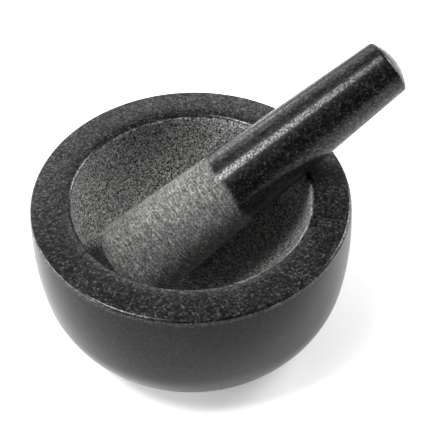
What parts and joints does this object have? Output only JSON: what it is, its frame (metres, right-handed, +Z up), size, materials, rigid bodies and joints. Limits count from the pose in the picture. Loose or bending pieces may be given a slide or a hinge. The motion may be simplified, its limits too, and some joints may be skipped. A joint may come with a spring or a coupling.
{
  "type": "mortar and pestle",
  "caption": "Thick-walled round granite bowl with a flat rim and a ground hollow, and a loose tapered pestle that leans over the rim and lifts out.",
  "frame": {"origin": "centre of the mortar's foot, on the surface it stands on", "axes": "+Z up through the middle of the bowl; +X the way the pestle leans over the rim; +Y to the left of that"},
  "size_m": [0.1805, 0.15, 0.1294],
  "materials": {
    "mortar": "satin",
    "pestle": "satin"
  },
  "bodies": {
    "mortar": {"mortar": "mortar"},
    "pestle": {"pestle": "pestle"}
  },
  "joints": [
    {"name": "pestle_lift", "type": "slide", "parent": "mortar", "child": "pestle", "axis": [0, 0, 1], "range_m": [0, 0.09]}
  ]
}
